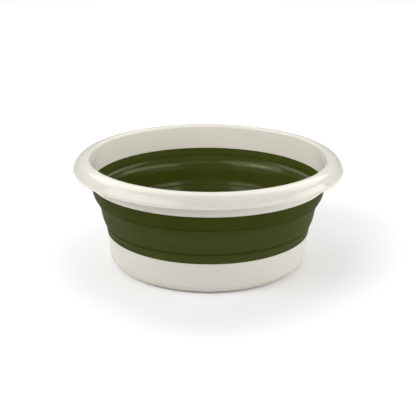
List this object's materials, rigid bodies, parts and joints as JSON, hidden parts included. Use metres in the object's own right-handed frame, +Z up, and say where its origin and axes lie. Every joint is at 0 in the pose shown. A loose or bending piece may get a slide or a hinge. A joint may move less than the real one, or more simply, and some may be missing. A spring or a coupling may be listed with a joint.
{
  "type": "collapsible bowl",
  "caption": "Round bowl with a rolled lip, a folding wall in stepped bands and a stiff base tub; the rim pushes straight down over the base to store it flat.",
  "frame": {"origin": "centre of the flat face that the bowl stands on", "axes": "+Z up along the bowl's axis of turning; the bowl is open to its full height at rest"},
  "size_m": [0.3718, 0.3718, 0.1502],
  "materials": {
    "cream_plastic": "gloss",
    "olive_rubber": "satin"
  },
  "bodies": {
    "base": {"base_tub": "cream_plastic", "lower_band": "olive_rubber"},
    "fold": {"middle_band": "olive_rubber"},
    "rim": {"upper_band": "olive_rubber", "rim_ring": "cream_plastic"}
  },
  "joints": [
    {"name": "collapse", "type": "slide", "parent": "base", "child": "rim", "axis": [0, 0, 1], "range_m": [-0.073, 0]},
    {"name": "fold_over", "type": "slide", "parent": "base", "child": "fold", "axis": [0, 0, 1], "range_m": [-0.0365, 0]}
  ],
  "couplings": [
    {"joint": "fold_over", "follows": "collapse", "ratio": 0.5}
  ]
}
